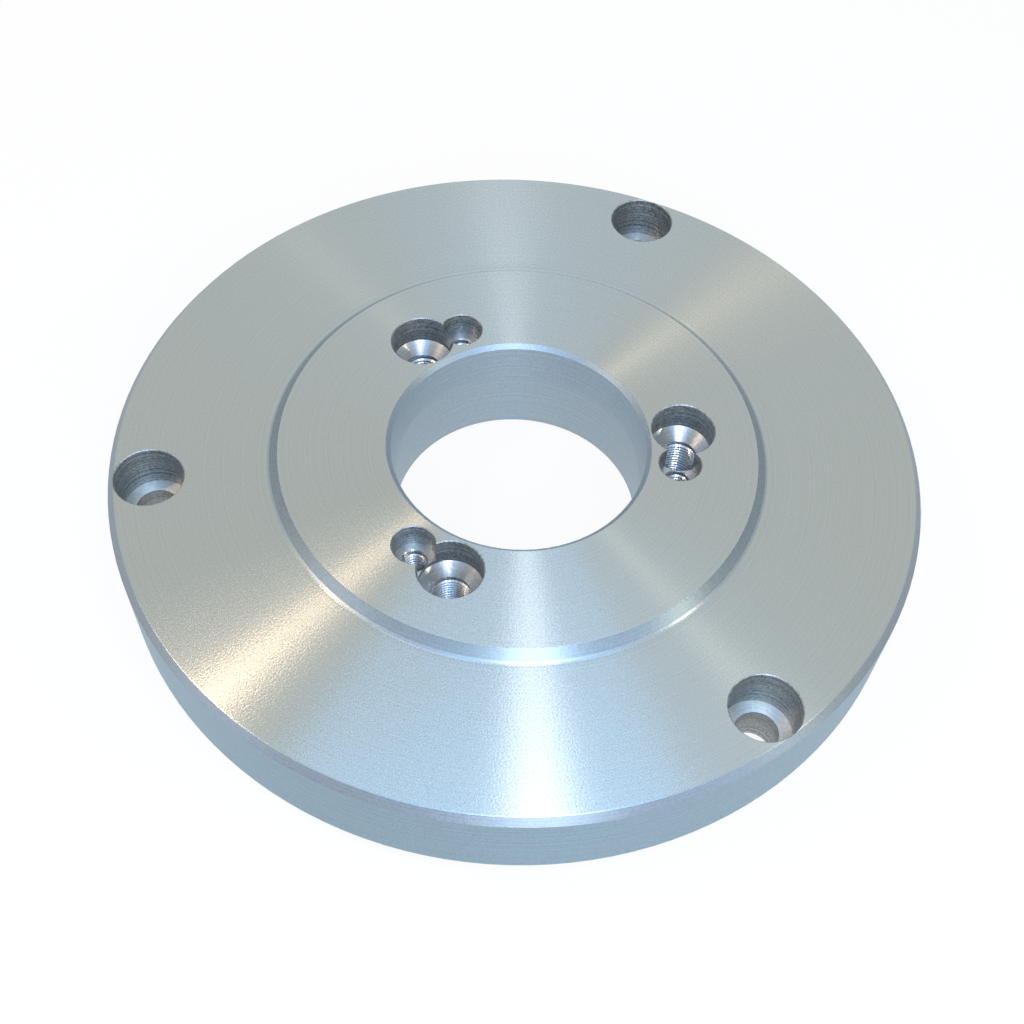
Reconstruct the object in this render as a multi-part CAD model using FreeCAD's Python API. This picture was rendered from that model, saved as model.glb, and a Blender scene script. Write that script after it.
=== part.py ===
import FreeCAD, Part
import math
import os

# Chuck backplate for a 200 mm lathe chuck on a size 4 camlock spindle nose.
# One turned and drilled steel plate. All sizes are in millimetres.
#
# +Z points to the spindle side, which carries the raised boss, the short
# taper and the stud sockets. The plate lies on its front register face, so
# the origin is the centre of that face. The first stud socket is on +Y.

# disc
DISC_D = 200.0
DISC_THICKNESS = 23.5
RIM_CHAMFER_WIDTH = 1.5
RIM_CHAMFER_HEIGHT = 2.0
RIM_EDGE_BREAK_WIDTH = 0.25
RIM_EDGE_BREAK_DEPTH = 0.1
FRONT_EDGE_BREAK = 0.5

# front register, which locates the chuck body
REGISTER_D = 165.0
REGISTER_HEIGHT = 4.0
REGISTER_EDGE_BREAK = 0.5

# raised boss that seats on the spindle nose
BOSS_HEIGHT = 2.5
BOSS_FACE_D = 118.1
BOSS_EDGE_BREAK = 0.3
BOSS_SHOULDER_ANGLE = 45.0
BOSS_ROOT_BEVEL_WIDTH = 0.55
BOSS_ROOT_BEVEL_HEIGHT = 0.35

# faint ring left by the tool just outside the boss
TOOL_RING_D = 124.4
TOOL_RING_WIDTH = 0.7
TOOL_RING_DEPTH = 0.04

# bore: mouth chamfer, short 1:4 taper, then a cylindrical relief
TAPER_D = 63.5
TAPER_HALF_ANGLE = 7.125
TAPER_DEPTH = 10.0
BORE_MOUTH_CHAMFER = 1.0
RELIEF_D = 63.0
RELIEF_LEAD_ANGLE = 45.0
BORE_FRONT_CHAMFER = 1.2

# three holes for the camlock studs
STUD_COUNT = 3
STUD_CIRCLE_D = 82.6
STUD_START_ANGLE = 90.0
STUD_SOCKET_D = 15.8
STUD_SOCKET_DEPTH = 8.0
STUD_CONE_HALF_ANGLE = 45.0
STUD_THREAD_D = 10.0
STUD_THREAD_END = 24.0

# each stud's lock screw, whose counterbore cuts into the stud socket
LOCK_CIRCLE_D = 79.9
LOCK_LAG_ANGLE = 15.45
LOCK_HEAD_D = 10.4
LOCK_HEAD_DEPTH = 6.7
LOCK_THREAD_D = 6.0
LOCK_COUNTERSINK = 0.3
LOCK_THREAD_END = 19.0

# three counterbored screw holes that hold the chuck, midway between the studs
CHUCK_CIRCLE_D = 180.0
CHUCK_LEAD_ANGLE = 60.0
CHUCK_HEAD_D = 16.8
CHUCK_HEAD_DEPTH = 12.2
CHUCK_SCREW_D = 10.6
CHUCK_FRONT_CHAMFER = 1.0

DRILL_POINT_HALF_ANGLE = 59.0

# small 45 degree break on the mouth of every hole, and how far a cutter starts above the face
HOLE_EDGE_BREAK = 0.25
CUTTER_CLEARANCE = 2.0

# heights of the faces above the front register face
SEAT_Z = REGISTER_HEIGHT
FLANGE_Z = SEAT_Z + DISC_THICKNESS
BOSS_Z = FLANGE_Z + BOSS_HEIGHT

AXIS_UP = FreeCAD.Vector(0, 0, 1)
CENTRE = FreeCAD.Vector(0, 0, 0)


def tangent(degrees):
    return math.tan(math.radians(degrees))


def section_point(radius, height):
    return FreeCAD.Vector(radius, 0, height)


def revolve(section):
    """Turn a closed half section in the XZ plane about the Z axis."""
    face = Part.Face(Part.Wire(section))
    return face.revolve(CENTRE, AXIS_UP, 360)


def lines(points):
    """Straight edges that join the points in order."""
    return [Part.LineSegment(a, b).toShape() for a, b in zip(points, points[1:])]


def turned_blank():
    """The whole turned form: disc, register, boss, shoulder, taper and bore."""
    disc_r = DISC_D / 2
    register_r = REGISTER_D / 2
    boss_r = BOSS_FACE_D / 2
    taper_r = TAPER_D / 2
    relief_r = RELIEF_D / 2
    ring_r = TOOL_RING_D / 2

    # the shoulder slopes at its own angle, then flattens in a narrow bevel at its root
    shoulder_top_r = boss_r + BOSS_EDGE_BREAK
    shoulder_top_z = BOSS_Z - BOSS_EDGE_BREAK
    root_z = FLANGE_Z + BOSS_ROOT_BEVEL_HEIGHT
    root_r = shoulder_top_r + (shoulder_top_z - root_z) / tangent(BOSS_SHOULDER_ANGLE)

    # the mouth chamfer starts on the boss face and ends on the taper
    mouth_r = taper_r + BORE_MOUTH_CHAMFER
    mouth_z = BOSS_Z - BORE_MOUTH_CHAMFER
    taper_start_r = taper_r - BORE_MOUTH_CHAMFER * tangent(TAPER_HALF_ANGLE)
    taper_end_r = taper_r - TAPER_DEPTH * tangent(TAPER_HALF_ANGLE)
    taper_end_z = BOSS_Z - TAPER_DEPTH
    relief_z = taper_end_z - (relief_r - taper_end_r) / tangent(RELIEF_LEAD_ANGLE)

    return revolve(lines([
        section_point(relief_r + BORE_FRONT_CHAMFER, 0),
        section_point(relief_r, BORE_FRONT_CHAMFER),
        section_point(relief_r, relief_z),
        section_point(taper_end_r, taper_end_z),
        section_point(taper_start_r, mouth_z),
        section_point(mouth_r, BOSS_Z),
        section_point(boss_r, BOSS_Z),
        section_point(shoulder_top_r, shoulder_top_z),
        section_point(root_r, root_z),
        section_point(root_r + BOSS_ROOT_BEVEL_WIDTH, FLANGE_Z),
        section_point(ring_r - TOOL_RING_WIDTH / 2, FLANGE_Z),
        section_point(ring_r, FLANGE_Z - TOOL_RING_DEPTH),
        section_point(ring_r + TOOL_RING_WIDTH / 2, FLANGE_Z),
        section_point(disc_r - RIM_CHAMFER_WIDTH - RIM_EDGE_BREAK_WIDTH, FLANGE_Z),
        section_point(disc_r - RIM_CHAMFER_WIDTH, FLANGE_Z - RIM_EDGE_BREAK_DEPTH),
        section_point(disc_r, FLANGE_Z - RIM_CHAMFER_HEIGHT),
        section_point(disc_r, SEAT_Z + FRONT_EDGE_BREAK),
        section_point(disc_r - FRONT_EDGE_BREAK, SEAT_Z),
        section_point(register_r, SEAT_Z),
        section_point(register_r, REGISTER_EDGE_BREAK),
        section_point(register_r - REGISTER_EDGE_BREAK, 0),
        section_point(relief_r + BORE_FRONT_CHAMFER, 0),
    ]))


def stepped_cutter(steps):
    """A revolved cutter from (radius, height) steps, listed from the top down.

    It is drawn on the Z axis and moved to its hole afterwards.
    """
    top = section_point(0, steps[0][1])
    bottom = section_point(0, steps[-1][1])
    points = [top] + [section_point(r, z) for r, z in steps]
    if steps[-1][0] > 0:
        points.append(bottom)
    points.append(top)
    return revolve(lines(points))


def placed_round(cutter, circle_d, angle):
    """Copy a cutter to its place on a hole circle."""
    copy = cutter.copy()
    copy.translate(FreeCAD.Vector(circle_d / 2, 0, 0))
    copy.rotate(CENTRE, AXIS_UP, angle)
    return copy


def drill_point(radius):
    """Height of the cone that a drill leaves at the end of a blind hole."""
    return radius / tangent(DRILL_POINT_HALF_ANGLE)


def broken_mouth(radius, face_z):
    """First steps of a cutter: from above the face down through its edge break."""
    return [
        (radius + HOLE_EDGE_BREAK, face_z + CUTTER_CLEARANCE),
        (radius + HOLE_EDGE_BREAK, face_z),
        (radius, face_z - HOLE_EDGE_BREAK),
    ]


def stud_socket_cutter():
    """Plain socket for the stud's shoulder, then a cone down to its thread."""
    socket_r = STUD_SOCKET_D / 2
    thread_r = STUD_THREAD_D / 2
    cone_height = (socket_r - thread_r) / tangent(STUD_CONE_HALF_ANGLE)
    floor_z = BOSS_Z - STUD_SOCKET_DEPTH
    end_z = BOSS_Z - STUD_THREAD_END
    return stepped_cutter(broken_mouth(socket_r, BOSS_Z) + [
        (socket_r, floor_z),
        (thread_r, floor_z - cone_height),
        (thread_r, end_z),
        (0, end_z - drill_point(thread_r)),
    ])


def lock_screw_cutter():
    """Counterbore for the lock screw's head and its blind tapped hole."""
    head_r = LOCK_HEAD_D / 2
    thread_r = LOCK_THREAD_D / 2
    ledge_z = BOSS_Z - LOCK_HEAD_DEPTH
    end_z = BOSS_Z - LOCK_THREAD_END
    return stepped_cutter(broken_mouth(head_r, BOSS_Z) + [
        (head_r, ledge_z),
        (thread_r + LOCK_COUNTERSINK, ledge_z),
        (thread_r, ledge_z - LOCK_COUNTERSINK),
        (thread_r, end_z),
        (0, end_z - drill_point(thread_r)),
    ])


def chuck_screw_cutter():
    """Through hole with a counterbore on the spindle side."""
    head_r = CHUCK_HEAD_D / 2
    screw_r = CHUCK_SCREW_D / 2
    ledge_z = FLANGE_Z - CHUCK_HEAD_DEPTH
    return stepped_cutter(broken_mouth(head_r, FLANGE_Z) + [
        (head_r, ledge_z),
        (screw_r, ledge_z),
        (screw_r, SEAT_Z + CHUCK_FRONT_CHAMFER),
        (screw_r + CHUCK_FRONT_CHAMFER, SEAT_Z),
        (screw_r + CHUCK_FRONT_CHAMFER, 0),
    ])


def backplate():
    """The turned blank with its three groups of holes."""
    stud_cutter = stud_socket_cutter()
    lock_cutter = lock_screw_cutter()
    chuck_cutter = chuck_screw_cutter()
    cutters = []
    for index in range(STUD_COUNT):
        angle = STUD_START_ANGLE + index * 360 / STUD_COUNT
        cutters.append(placed_round(stud_cutter, STUD_CIRCLE_D, angle))
        cutters.append(placed_round(lock_cutter, LOCK_CIRCLE_D, angle - LOCK_LAG_ANGLE))
        cutters.append(placed_round(chuck_cutter, CHUCK_CIRCLE_D, angle + CHUCK_LEAD_ANGLE))
    return turned_blank().cut(cutters)


os.makedirs("parts", exist_ok=True)
plate = backplate()
plate.exportStep("parts/backplate.step")
print("backplate", "solids", len(plate.Solids), "valid", plate.isValid(),
      "volume mm3", round(plate.Volume), "height", round(plate.BoundBox.ZLength, 3))
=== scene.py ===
import math

import bpy
from mathutils import Matrix, Vector


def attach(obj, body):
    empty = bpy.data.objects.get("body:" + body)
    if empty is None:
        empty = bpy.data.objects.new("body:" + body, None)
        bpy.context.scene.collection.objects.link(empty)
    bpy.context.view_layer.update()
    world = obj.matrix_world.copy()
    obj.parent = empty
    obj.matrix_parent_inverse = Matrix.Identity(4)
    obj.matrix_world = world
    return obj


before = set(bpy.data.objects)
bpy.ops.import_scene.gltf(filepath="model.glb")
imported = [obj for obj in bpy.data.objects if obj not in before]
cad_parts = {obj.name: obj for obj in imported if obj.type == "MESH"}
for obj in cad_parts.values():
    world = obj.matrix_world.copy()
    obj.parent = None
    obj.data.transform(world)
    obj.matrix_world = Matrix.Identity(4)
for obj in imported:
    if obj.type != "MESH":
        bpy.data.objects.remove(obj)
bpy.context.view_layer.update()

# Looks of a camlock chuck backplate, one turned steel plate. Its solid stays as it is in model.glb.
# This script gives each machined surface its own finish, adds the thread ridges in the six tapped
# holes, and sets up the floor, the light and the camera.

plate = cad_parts["backplate"]
MM = 0.001

# Sizes of the plate in millimetres, as it was turned and drilled. Heights are above the face that
# it lies on, and each R is a radius.
FLANGE_Z = 27.5
BOSS_Z = 30.0
BORE_MOUTH_R = 32.75
SHOULDER_OUTER_R = 62.0
CHAMFER_INNER_R = 98.0
CHAMFER_END_Z = 25.5
STUD_CIRCLE_R = 41.3
STUD_SOCKET_R = 7.9
STUD_THREAD_R = 5.0
STUD_THREAD_TOP_Z = 19.1
STUD_THREAD_END_Z = 6.0
LOCK_CIRCLE_R = 39.95
LOCK_LAG = 15.45
LOCK_HEAD_R = 5.2
LOCK_THREAD_R = 3.0
LOCK_THREAD_TOP_Z = 23.0
LOCK_THREAD_END_Z = 11.0
CHUCK_CIRCLE_R = 90.0
CHUCK_LEAD = 60.0
CHUCK_HEAD_R = 8.4
CHUCK_SCREW_R = 5.3
STUD_ANGLES = (90.0, 210.0, 330.0)

# Which way a cut surface runs as its radius grows: down on outside forms, up on bores and cones.
OUTSIDE = -1.0
INSIDE = 1.0


def on_circle(radius, degrees):
    """Point in millimetres on a hole circle round the plate's axis."""
    angle = math.radians(degrees)
    return Vector((radius * math.cos(angle), radius * math.sin(angle), 0))


STUD_AXES = [on_circle(STUD_CIRCLE_R, angle) for angle in STUD_ANGLES]
LOCK_AXES = [on_circle(LOCK_CIRCLE_R, angle - LOCK_LAG) for angle in STUD_ANGLES]
CHUCK_AXES = [on_circle(CHUCK_CIRCLE_R, angle + CHUCK_LEAD) for angle in STUD_ANGLES]


# Colours and nodes

MATH = "ShaderNodeMath"
VECTOR_MATH = "ShaderNodeVectorMath"


def linear(code):
    """Linear RGBA of an sRGB hex colour."""
    channels = [int(code[i:i + 2], 16) / 255 for i in (1, 3, 5)]
    return [c / 12.92 if c <= 0.04045 else ((c + 0.055) / 1.055) ** 2.4 for c in channels] + [1.0]


def add_node(tree, kind, settings=None, **links):
    """Add a node, set its properties, and set or link its inputs.

    An input is named with an underscore for each space, or by s and its number.
    """
    node = tree.nodes.new(kind)
    for name, value in (settings or {}).items():
        setattr(node, name, value)
    for name, value in links.items():
        numbered = name[1:].isdigit()
        socket = node.inputs[int(name[1:])] if numbered else node.inputs[name.replace("_", " ")]
        if isinstance(value, bpy.types.NodeSocket):
            tree.links.new(value, socket)
        else:
            socket.default_value = value
    return node


def empty_tree(owner):
    """Node tree of a material or world, with nothing in it."""
    owner.use_nodes = True
    owner.node_tree.nodes.clear()
    return owner.node_tree


# Finishes

# How much of the tone is grain, and the part of a noise's range that spans the two tones.
GRAIN_SHARE = 0.5
NOISE_LOW = 0.3
NOISE_HIGH = 0.7
RING_DETAIL = 2.0
RING_BLEND = 0.6
GRAIN_DETAIL = 1.0
GRAIN_BLEND = 0.5


def cut_steel(name, dark, light, roughness, spread, stretch, ring_mm, ring_slope, grain_mm,
              grain_slope, slope):
    """Bare steel as a lathe or a cutter leaves it, with fine rings round the axis it was cut about.

    The rings stretch every reflection across themselves, which gives the eye the bright fans on a
    turned face, and the grain breaks those fans into sparkles. dark and light are its two tones,
    roughness varies by spread either way, stretch is how far reflections are drawn out, and
    slope says which way the surface runs as its radius grows.
    """
    material = bpy.data.materials.new(name)
    tree = empty_tree(material)
    place = add_node(tree, "ShaderNodeTexCoord").outputs["Object"]
    axis = add_node(tree, "ShaderNodeAttribute", {"attribute_name": "turning_axis"}).outputs["Vector"]
    local = add_node(tree, VECTOR_MATH, {"operation": "SUBTRACT"}, s0=place, s1=axis).outputs[0]
    flat = add_node(tree, VECTOR_MATH, {"operation": "MULTIPLY"}, s0=local, s1=(1, 1, 0)).outputs[0]
    radius = add_node(tree, VECTOR_MATH, {"operation": "LENGTH"}, s0=flat).outputs["Value"]
    outward = add_node(tree, VECTOR_MATH, {"operation": "NORMALIZE"}, s0=flat).outputs[0]
    height = add_node(tree, "ShaderNodeSeparateXYZ", Vector=local).outputs["Z"]
    across = add_node(tree, VECTOR_MATH, {"operation": "ADD"}, s0=outward, s1=(0, 0, slope)).outputs[0]

    # distance along the section, so the rings follow faces, walls and cones alike
    travel = add_node(tree, MATH, {"operation": "MULTIPLY_ADD"}, s0=height, s1=slope,
                      s2=radius).outputs[0]
    rings = add_node(tree, "ShaderNodeTexNoise", {"noise_dimensions": "1D"}, W=travel,
                     Scale=1 / (ring_mm * MM), Detail=RING_DETAIL, Roughness=RING_BLEND).outputs["Fac"]
    grain = add_node(tree, "ShaderNodeTexNoise", Vector=place, Scale=1 / (grain_mm * MM),
                     Detail=GRAIN_DETAIL, Roughness=GRAIN_BLEND).outputs["Fac"]

    both = add_node(tree, "ShaderNodeMix", s0=GRAIN_SHARE, s2=rings, s3=grain).outputs[0]
    tone = add_node(tree, "ShaderNodeMapRange", Value=both, From_Min=NOISE_LOW,
                    From_Max=NOISE_HIGH).outputs[0]
    colour = add_node(tree, "ShaderNodeMix", {"data_type": "RGBA"}, s0=tone, s6=linear(dark),
                      s7=linear(light))
    gloss = add_node(tree, "ShaderNodeMapRange", Value=grain, From_Min=NOISE_LOW, From_Max=NOISE_HIGH,
                     To_Min=roughness - spread, To_Max=roughness + spread).outputs[0]
    ring_relief = add_node(tree, "ShaderNodeBump", Strength=1.0, Distance=ring_slope * ring_mm * MM,
                           Height=rings)
    relief = add_node(tree, "ShaderNodeBump", Strength=1.0, Distance=grain_slope * grain_mm * MM,
                      Height=grain, Normal=ring_relief.outputs[0])
    steel = add_node(tree, "ShaderNodeBsdfPrincipled", Base_Color=colour.outputs[2], Metallic=1.0,
                     Roughness=gloss, Anisotropic=stretch, Normal=relief.outputs[0], Tangent=across)
    add_node(tree, "ShaderNodeOutputMaterial", Surface=steel.outputs[0])
    return material


# Every finish is the same bare steel. A finishing cut leaves rings about 0.1 mm apart and a grain
# of a few hundredths, while a pixel of the render covers 0.25 mm. So both are drawn 0.4 to 0.8 mm
# wide, as coarse as they need to be to show, and shallow.
FINISH_TABLE = {
    # Facing cut at a fine feed: pale grey with a faint green cast, which gives long narrow fans.
    "faced_steel": dict(dark="#CBD3CE", light="#D7DFDB", roughness=0.275, spread=0.02, stretch=1.0,
                        ring_mm=0.5, ring_slope=0.01, grain_mm=0.5, grain_slope=0.030, slope=OUTSIDE),
    # Root bevel of the boss and edge break of the rim, left bright by the tool: thin light lines.
    "edge_steel": dict(dark="#B2C0C6", light="#C4D2D8", roughness=0.36, spread=0.03, stretch=0.84,
                       ring_mm=0.5, ring_slope=0.01, grain_mm=0.5, grain_slope=0.04, slope=OUTSIDE),
    # Boss shoulder, cut with the side of the tool: duller than the faces beside it, and darker and
    # bluer from painted shade and a painted blue reflection in its colour.
    "shoulder_steel_painted_shade_and_blue": dict(dark="#8E9CA4", light="#B0C0C8", roughness=0.43, spread=0.04, stretch=0.75,
                           ring_mm=0.4, ring_slope=0.02, grain_mm=0.5, grain_slope=0.05,
                           slope=OUTSIDE),
    # Outer chamfer, one light cut: a grey band that brightens only towards the lamps, whose blue cast
    # is a painted blue reflection.
    "chamfer_steel_painted_blue": dict(dark="#8E9AA4", light="#AAB6C0", roughness=0.44, spread=0.04, stretch=0.78,
                          ring_mm=0.4, ring_slope=0.02, grain_mm=0.5, grain_slope=0.05, slope=OUTSIDE),
    # Rim and the front's outer side, turned at a coarser feed: even satin grey, whose blue cast is a
    # painted blue reflection.
    "rim_steel_painted_blue": dict(dark="#859AA6", light="#9FB6C3", roughness=0.50, spread=0.04, stretch=0.6,
                      ring_mm=0.6, ring_slope=0.03, grain_mm=0.6, grain_slope=0.08, slope=OUTSIDE),
    # Taper and relief, bored: satin grey with rings that run round inside the hole, whose blue cast is
    # a painted blue reflection.
    "bored_steel": dict(dark="#9AAAB4", light="#B0C0CA", roughness=0.50, spread=0.03, stretch=0.5,
                        ring_mm=0.6, ring_slope=0.03, grain_mm=0.6, grain_slope=0.06, slope=INSIDE),
    # Walls of the counterbores, torn a little by the cutter: dark and mottled.
    "counterbored_steel": dict(dark="#6E767A", light="#C8CECE", roughness=0.50, spread=0.05,
                               stretch=0.4, ring_mm=0.8, ring_slope=0.05, grain_mm=0.6,
                               grain_slope=0.20, slope=INSIDE),
    # Ledges of the chuck screw holes, cut by the end of the cutter: bright flats in dark holes, lit by
    # the lamps and brightened by painted light in their near-white colour.
    "spotfaced_steel_painted_light": dict(dark="#DCE2DE", light="#FCFCF8", roughness=0.42, spread=0.05, stretch=0.7,
                            ring_mm=0.5, ring_slope=0.03, grain_mm=0.5, grain_slope=0.10,
                            slope=INSIDE),
    # Cones and ledges of the stud and lock screw holes, cut smooth: one sharp light streak each.
    "countersunk_steel": dict(dark="#B4BABE", light="#D6DADC", roughness=0.33, spread=0.03,
                              stretch=0.70, ring_mm=0.5, ring_slope=0.02, grain_mm=0.5,
                              grain_slope=0.05, slope=INSIDE),
    # Tapped walls and thread ridges, burnished by the tap: small glints on each turn.
    "tapped_steel": dict(dark="#A4AAB0", light="#D8DEE2", roughness=0.30, spread=0.04, stretch=0.6,
                         ring_mm=0.4, ring_slope=0.03, grain_mm=0.5, grain_slope=0.05, slope=INSIDE),
}
FINISHES = {name: cut_steel(name, **values) for name, values in FINISH_TABLE.items()}


# Surfaces of the plate

# How near a surface's middle is to a face, wall or edge that it belongs to, in millimetres.
FACE_REACH = 0.3
MOUTH_REACH = 0.3
WALL_REACH = 0.15
THREAD_REACH = 0.02
BORE_REACH = 0.1
SHOULDER_REACH = 0.2

# Upright share of the normal on a level surface and on a slightly sloped one, the least sideways
# share that says where a surface faces, and how squarely a hole's wall faces its axis.
LEVEL = 0.99
NEARLY_LEVEL = 0.8
LEAST_SIDEWAYS = 0.05
SQUARELY = 0.97


def hole_axis(centre, normal, axes, reach):
    """The axis that a surface of a hole was cut about and its distance, or None and nought."""
    for axis in axes:
        inward = Vector((axis.x - centre.x, axis.y - centre.y, 0))
        if inward.length > reach:
            continue
        side = Vector((normal.x, normal.y, 0))
        if side.length < LEAST_SIDEWAYS or side.normalized().dot(inward.normalized()) > SQUARELY:
            return axis, inward.length
    return None, 0.0


def surface_at(centre, normal):
    """Finish and turning axis of the surface at a point on the plate."""
    flat = abs(normal.z) > LEVEL
    radius = math.hypot(centre.x, centre.y)
    on_axis = Vector((0, 0, 0))
    face_distance = min(abs(centre.z - FLANGE_Z), abs(centre.z - BOSS_Z))
    if normal.z > NEARLY_LEVEL and face_distance < FACE_REACH:
        return "faced_steel" if flat else "edge_steel", on_axis
    if not (flat and normal.z < 0):
        for axes, mouth_r, screw_r in ((LOCK_AXES, LOCK_HEAD_R, LOCK_THREAD_R),
                                       (STUD_AXES, STUD_SOCKET_R, STUD_THREAD_R),
                                       (CHUCK_AXES, CHUCK_HEAD_R, CHUCK_SCREW_R)):
            axis, distance = hole_axis(centre, normal, axes, mouth_r + MOUTH_REACH)
            if axis is None:
                continue
            if distance > mouth_r - WALL_REACH:
                return "counterbored_steel", axis
            if distance > screw_r + THREAD_REACH:
                return "spotfaced_steel_painted_light" if axes is CHUCK_AXES else "countersunk_steel", axis
            return "counterbored_steel" if axes is CHUCK_AXES else "tapped_steel", axis
    if radius < BORE_MOUTH_R + BORE_REACH and not flat:
        return "bored_steel", on_axis
    if flat:
        return "faced_steel", on_axis
    if radius < SHOULDER_OUTER_R and centre.z > FLANGE_Z - SHOULDER_REACH:
        return "shoulder_steel_painted_shade_and_blue", on_axis
    if radius > CHAMFER_INNER_R and centre.z > CHAMFER_END_Z:
        return "chamfer_steel_painted_blue", on_axis
    return "rim_steel_painted_blue", on_axis


def set_turning_axes(mesh, axes):
    """Store, per face, the axis that the surface was turned about."""
    attribute = mesh.attributes.new("turning_axis", "FLOAT_VECTOR", "FACE")
    attribute.data.foreach_set("vector", [value * MM for axis in axes for value in axis])


def dress_plate():
    """Give every facet of the plate its finish and the axis that it was turned about."""
    mesh = plate.data
    mesh.materials.clear()
    names = list(FINISHES)
    for name in names:
        mesh.materials.append(FINISHES[name])
    surfaces = [surface_at(polygon.center / MM, polygon.normal) for polygon in mesh.polygons]
    mesh.polygons.foreach_set("material_index", [names.index(finish) for finish, axis in surfaces])
    set_turning_axes(mesh, [axis for finish, axis in surfaces])


dress_plate()


# Threads

# The stud holes are M10 x 1 and the lock screw holes M6, so both threads have a pitch of 1 mm.
THREAD_PITCH = 1.0
THREAD_DEPTH = 0.54
THREAD_CREST = 0.2
THREAD_SEGMENTS = 40
# how far the ridge's foot sinks into the wall, half its width as a share of the pitch, and the
# share of its depth that it starts and ends with
THREAD_SINK = 0.02
HALF_FOOT_SHARE = 0.44
LEAST_DEPTH_SHARE = 0.03


def thread_ridge(name, axis, radius, top_z, end_z):
    """One closed helical ridge that stands inward from a tapped hole's wall."""
    turns = (top_z - end_z) / THREAD_PITCH - 1
    steps = int(turns * THREAD_SEGMENTS)
    foot = radius + THREAD_SINK
    half_foot = THREAD_PITCH * HALF_FOOT_SHARE
    vertices = []
    for step in range(steps + 1):
        angle = 2 * math.pi * step / THREAD_SEGMENTS
        z = top_z - half_foot - THREAD_PITCH * step / THREAD_SEGMENTS
        # the ridge runs in and out over half a turn
        rise = min(1.0, 2 * step / THREAD_SEGMENTS, 2 * (steps - step) / THREAD_SEGMENTS)
        depth = THREAD_DEPTH * max(rise, LEAST_DEPTH_SHARE)
        for r, dz in ((foot, half_foot), (foot - depth, THREAD_CREST / 2),
                      (foot - depth, -THREAD_CREST / 2), (foot, -half_foot)):
            vertices.append(((axis.x + r * math.cos(angle)) * MM, (axis.y + r * math.sin(angle)) * MM,
                             (z + dz) * MM))
    faces = [(0, 1, 2, 3), tuple(4 * steps + i for i in (3, 2, 1, 0))]
    for step in range(steps):
        a, b = 4 * step, 4 * step + 4
        faces += [(a + i, b + i, b + (i + 1) % 4, a + (i + 1) % 4) for i in range(4)]
    mesh = bpy.data.meshes.new(name)
    mesh.from_pydata(vertices, [], faces)
    mesh.update()
    mesh.materials.append(FINISHES["tapped_steel"])
    set_turning_axes(mesh, [axis] * len(faces))
    ridge = bpy.data.objects.new(name, mesh)
    bpy.context.scene.collection.objects.link(ridge)
    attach(ridge, "root")
    return ridge


for index in range(len(STUD_ANGLES)):
    thread_ridge(f"stud_thread_{index + 1}", STUD_AXES[index], STUD_THREAD_R, STUD_THREAD_TOP_Z,
                 STUD_THREAD_END_Z)
    thread_ridge(f"lock_screw_thread_{index + 1}", LOCK_AXES[index], LOCK_THREAD_R, LOCK_THREAD_TOP_Z,
                 LOCK_THREAD_END_Z)


# Floor and light

FLOOR_SIZE = 12
# how much of what is seen of the floor is plain white, and the rest is its shaded paper
WHITE_SHARE = 0.9
SKY_LEVEL = 0.62
# The lamps and the camera are placed in the photo's own ground directions, in which 270 degrees
# points to the camera. This is their turn against the plate's frame.
PHOTO_TURN = -41.05


def pale_floor():
    """A white paper sweep under the plate, which keeps a soft trace of the plate's shadow."""
    material = bpy.data.materials.new("white_sweep")
    tree = empty_tree(material)
    paper = add_node(tree, "ShaderNodeBsdfDiffuse", Color=linear("#F4F4F4"))
    white = add_node(tree, "ShaderNodeEmission", Color=(1, 1, 1, 1), Strength=1.0)
    path = add_node(tree, "ShaderNodeLightPath")
    reflected = add_node(tree, MATH, {"operation": "MAXIMUM"}, s0=path.outputs["Is Glossy Ray"],
                         s1=path.outputs["Is Transmission Ray"]).outputs[0]
    seen = add_node(tree, MATH, {"operation": "MAXIMUM"}, s0=path.outputs["Is Camera Ray"],
                    s1=reflected).outputs[0]
    share = add_node(tree, MATH, {"operation": "MULTIPLY"}, s0=seen, s1=WHITE_SHARE).outputs[0]
    both = add_node(tree, "ShaderNodeMixShader", s0=share, s1=paper.outputs[0], s2=white.outputs[0])
    add_node(tree, "ShaderNodeOutputMaterial", Surface=both.outputs[0])
    bpy.ops.mesh.primitive_plane_add(size=FLOOR_SIZE, location=(0, 0, 0))
    floor = bpy.context.object
    floor.name = "floor"
    floor.data.materials.append(material)


def lamp(name, azimuth, elevation, distance, width, height, level, colour):
    """An area lamp aimed at the plate, placed in degrees and metres.

    level is the light in W/m2 that reaches a card facing the lamp at the plate.
    """
    angle = math.radians(azimuth + PHOTO_TURN)
    rise = math.radians(elevation)
    data = bpy.data.lights.new(name, "AREA")
    data.shape = "RECTANGLE"
    data.size, data.size_y = width, height
    data.energy = level * math.pi * distance ** 2
    data.color = linear(colour)[:3]
    light = bpy.data.objects.new(name, data)
    bpy.context.scene.collection.objects.link(light)
    light.location = distance * Vector((math.cos(angle) * math.cos(rise),
                                        math.sin(angle) * math.cos(rise), math.sin(rise)))
    light.rotation_euler = (-light.location).to_track_quat("-Z", "Y").to_euler()
    return light


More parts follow.
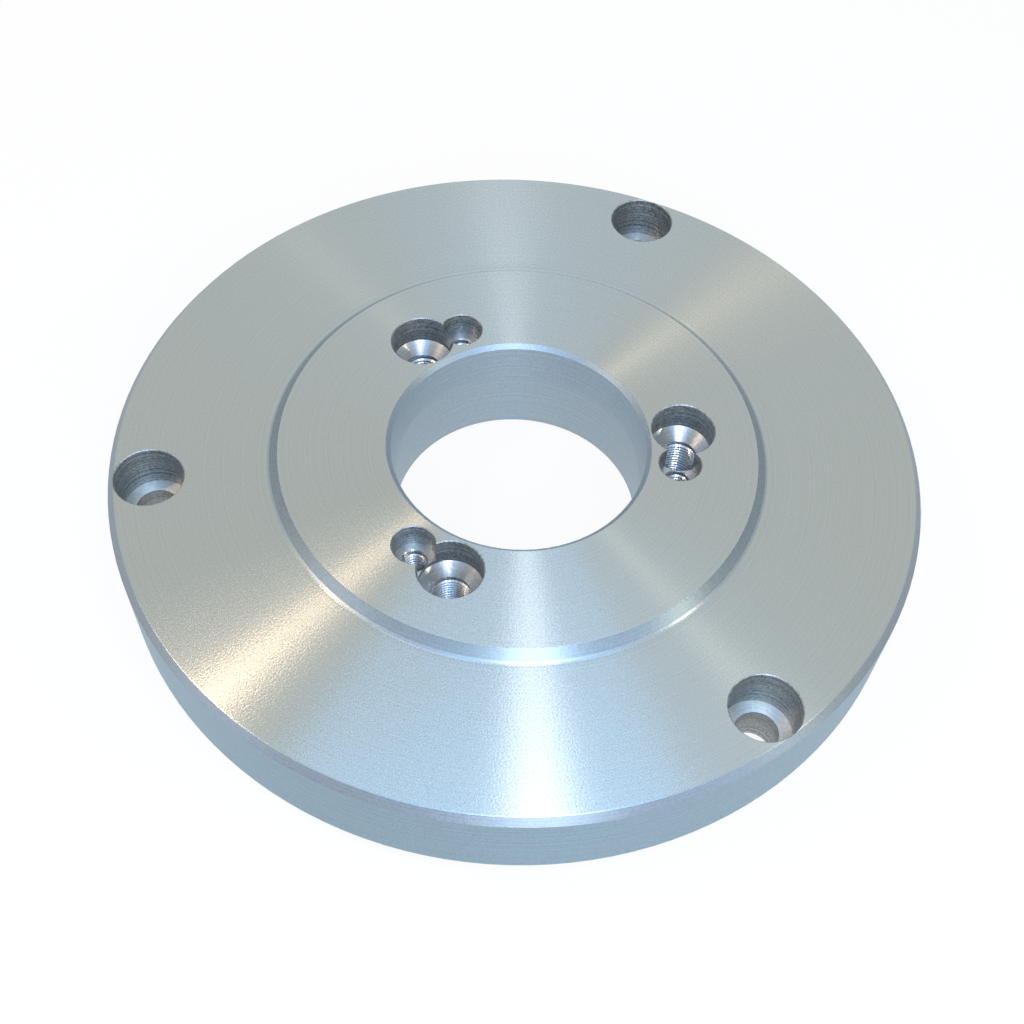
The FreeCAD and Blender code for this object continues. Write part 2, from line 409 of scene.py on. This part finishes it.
def studio_light():
    """A plain sky and the lamps, whose places and sizes set the fans on the turned faces."""
    world = bpy.data.worlds.new("soft_studio")
    bpy.context.scene.world = world
    tree = empty_tree(world)
    sky = add_node(tree, "ShaderNodeBackground", Color=linear("#FFFFFF"), Strength=SKY_LEVEL)
    add_node(tree, "ShaderNodeOutputWorld", Surface=sky.outputs[0])

    # bright core and blue border of the fan towards the camera
    lamp("front_lamp", 284, 66, 0.35, 0.045, 0.02, 0.36, "#FFF4F6")
    lamp("front_wide", 280, 58, 0.6, 0.45, 0.10, 0.42, "#78BCFF")
    # highlights of the boss shoulder, the chamfer and the rim
    lamp("front_low", 281, 31, 0.6, 0.16, 0.20, 1.0, "#D8E8FF")
    lamp("front_soft", 270, 30, 1.0, 1.6, 0.5, 0.5, "#BCDCFF")
    lamp("left_fill", 210, 8, 1.2, 0.6, 0.3, 0.20, "#B4D8FF")
    lamp("right_fill", 322, 8, 1.2, 0.6, 0.3, 0.26, "#B4D8FF")
    # warm fan on the left and its soft border
    lamp("warm_left", 183, 55, 0.7, 0.02, 0.02, 0.40, "#FFDAB6")
    lamp("warm_soft", 186, 47, 1.2, 0.5, 0.1, 0.20, "#FFE0CC")
    # faint fan on the right
    lamp("right_lamp", -18.4, 32, 1.5, 0.02, 0.02, 0.36, "#FFF2D8")
    # cool daylight from the far right and from above
    lamp("window", 29.6, 69, 1.2, 1.5, 0.3, 0.09, "#90C4FF")
    lamp("soft", 264, 86, 0.6, 0.46, 0.10, 0.60, "#74BCFF")


# Camera, from a fit to the plate's rims and holes in the photo. Lengths are in millimetres, angles
# in degrees, and the focal length and the lens axis are in pixels of a picture 1024 wide.

CAMERA_AIM = Vector((-17.74, -26.56, 5.34))
CAMERA_DISTANCE = 336.5
CAMERA_ELEVATION = 57.52
CAMERA_ROLL = 4.23
PICTURE = 1024
FOCAL_PIXELS = 1351.7
CENTRE_X = 523.65
CENTRE_Y = 604.94
SENSOR = 36.0
NEAR_CLIP = 0.01


def photo_camera():
    """Camera at the photo's viewing angle."""
    rise = math.radians(CAMERA_ELEVATION)
    turn = Matrix.Rotation(math.radians(PHOTO_TURN), 3, "Z")
    forward = turn @ Vector((0, math.cos(rise), -math.sin(rise)))
    right = turn @ Vector((1, 0, 0))
    rolled = Matrix.Rotation(math.radians(-CAMERA_ROLL), 3, forward)
    right = rolled @ right
    up = right.cross(forward)
    camera = bpy.data.objects.new("camera", bpy.data.cameras.new("camera"))
    bpy.context.scene.collection.objects.link(camera)
    stand = Matrix((right, up, -forward)).transposed().to_4x4()
    stand.translation = (CAMERA_AIM - CAMERA_DISTANCE * forward) * MM
    camera.matrix_world = stand
    camera.data.sensor_width = SENSOR
    camera.data.lens = SENSOR * FOCAL_PIXELS / PICTURE
    camera.data.shift_x = (PICTURE / 2 - CENTRE_X) / PICTURE
    camera.data.shift_y = (CENTRE_Y - PICTURE / 2) / PICTURE
    camera.data.clip_start = NEAR_CLIP
    bpy.context.scene.camera = camera


pale_floor()
studio_light()
photo_camera()
bpy.context.scene.view_settings.view_transform = "Standard"
